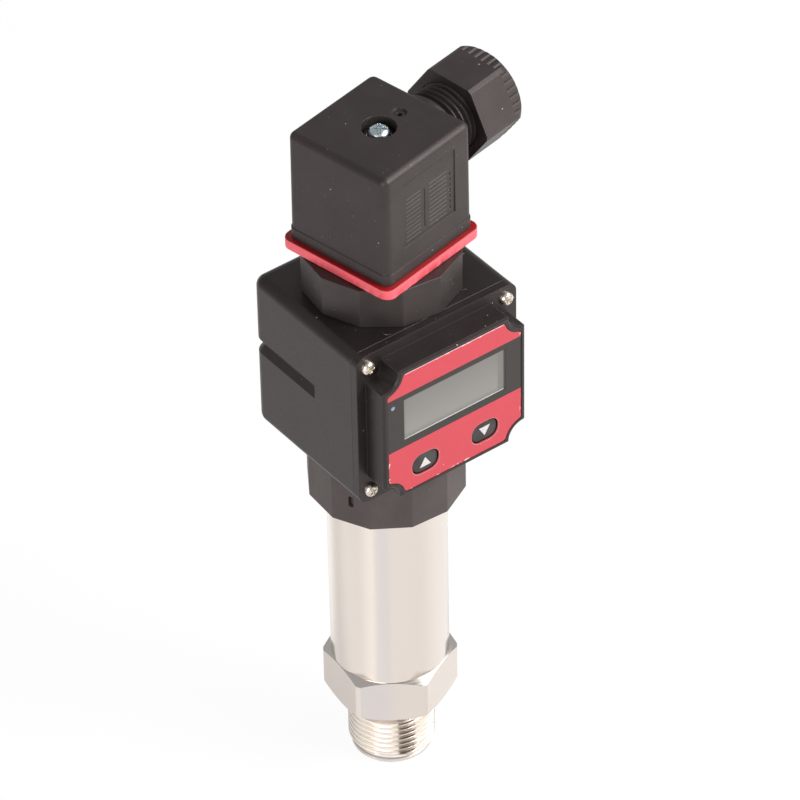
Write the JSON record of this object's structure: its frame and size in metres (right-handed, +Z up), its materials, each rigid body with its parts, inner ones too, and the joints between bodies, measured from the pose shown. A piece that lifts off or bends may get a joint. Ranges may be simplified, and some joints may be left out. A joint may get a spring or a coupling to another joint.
{
  "type": "pressure transmitter",
  "caption": "Threaded steel pressure transmitter with a turning display head, push buttons and a square plug with a side cable gland.",
  "frame": {"origin": "on the vertical axis, in the plane of the sealing shoulder under the hexagon", "axes": "+Z up along the sleeve's axis, the display faces -Y, the cable gland points about +X"},
  "size_m": [0.0578, 0.0438, 0.177],
  "materials": {
    "fitting_steel": "turned and milled",
    "capsule_steel": "ground",
    "oring_rubber": "matt",
    "pin_gold": "gold flash",
    "retainer_steel": "turned",
    "sleeve_steel": "satin",
    "carrier_nylon": "natural",
    "board_laminate": "solder mask",
    "chip_epoxy": "moulded",
    "trimmer_plastic": "moulded",
    "collar_plastic": "fine matt grain",
    "spring_steel": "phosphated",
    "housing_plastic": "fine matt grain",
    "cover_plastic": "fine matt grain",
    "cover_screw_nickel": "nickel plate",
    "label_red": "printed polyester film",
    "window_grey": "printed polyester film",
    "window_lens": "clear acrylic",
    "lcd_glass": "grey-green display glass",
    "frame_plastic": "moulded",
    "led_epoxy": "diffused",
    "zinc_screw": "blue zinc plate",
    "can_aluminium": "drawn can",
    "lead_insulation": "extruded",
    "wire_insulation": "extruded",
    "button_rubber": "moulded silicone",
    "arrow_print": "printed",
    "base_plastic": "fine matt grain",
    "nut_plastic": "moulded",
    "contact_tin": "tin plate",
    "insert_brass": "knurled",
    "gasket_silicone": "moulded silicone",
    "hood_plastic": "fine matt grain",
    "insert_plastic": "moulded",
    "fixing_screw_zinc": "blue zinc plate",
    "seal_rubber": "matt",
    "ring_plastic": "moulded",
    "gland_plastic": "fine matt grain"
  },
  "bodies": {
    "process_body": {"process_fitting": "fitting_steel", "pressure_capsule": "capsule_steel", "capsule_oring": "oring_rubber", "capsule_pins": "pin_gold", "capsule_retainer": "retainer_steel", "sleeve": "sleeve_steel", "amplifier_carrier": "carrier_nylon", "amplifier_board": "board_laminate", "amplifier_parts": "chip_epoxy", "trimmers": "trimmer_plastic", "lead_bush": "carrier_nylon", "lower_collar": "collar_plastic", "sleeve_oring": "oring_rubber", "swivel_oring": "oring_rubber", "swivel_clip": "spring_steel"},
    "display_head": {"stop_pin": "spring_steel", "housing_shell": "housing_plastic", "front_cover": "cover_plastic", "cover_gasket": "oring_rubber", "cover_screws": "cover_screw_nickel", "face_label": "label_red", "window_panel": "window_grey", "window_lens": "window_lens", "lcd_panel": "lcd_glass", "lcd_frame": "frame_plastic", "status_led": "led_epoxy", "display_board": "board_laminate", "display_board_screws": "zinc_screw", "display_chip": "chip_epoxy", "display_capacitors": "can_aluminium", "lead_connector": "frame_plastic", "signal_leads": "lead_insulation", "connector_leads": "wire_insulation", "switch_bodies": "chip_epoxy", "connector_base": "base_plastic", "base_oring": "oring_rubber", "base_lock_nut": "nut_plastic", "contact_blades": "contact_tin", "screw_insert": "insert_brass", "profile_gasket": "gasket_silicone", "connector_hood": "hood_plastic", "contact_carrier": "insert_plastic", "terminal_sockets": "contact_tin", "terminal_screws": "zinc_screw", "screw_washer": "zinc_screw", "fixing_screw": "fixing_screw_zinc", "gland_seal": "seal_rubber"},
    "up_button": {"button_up": "button_rubber", "arrow_up": "arrow_print", "switch_stem_up": "frame_plastic"},
    "down_button": {"button_down": "button_rubber", "arrow_down": "arrow_print", "switch_stem_down": "frame_plastic"},
    "gland_ring": {"thrust_ring": "ring_plastic"},
    "gland_cap": {"gland_nut": "gland_plastic"}
  },
  "joints": [
    {"name": "head_turn", "type": "hinge", "parent": "process_body", "child": "display_head", "pos_m": [0, 0, 0.07815], "axis": [0, 0, 1], "range_deg": [-165, 165]},
    {"name": "button_up_press", "type": "slide", "parent": "display_head", "child": "up_button", "axis": [0, 1, 0], "range_m": [0, 0.0004], "stiffness_N_per_m": 2500, "springref_m": -0.0002},
    {"name": "button_down_press", "type": "slide", "parent": "display_head", "child": "down_button", "axis": [0, 1, 0], "range_m": [0, 0.0004], "stiffness_N_per_m": 2500, "springref_m": -0.0002},
    {"name": "gland_advance", "type": "slide", "parent": "display_head", "child": "gland_ring", "axis": [0.9796, 0.2011, 0], "range_m": [-0.00226, 0.00451]},
    {"name": "gland_nut_turn", "type": "hinge", "parent": "gland_ring", "child": "gland_cap", "pos_m": [0.0287, 0.00589, 0.1492], "axis": [0.9796, 0.2011, 0], "range_deg": [-540, 1080]}
  ],
  "couplings": [
    {"joint": "gland_advance", "follows": "gland_nut_turn", "m_per_rad": 0.00023873}
  ]
}
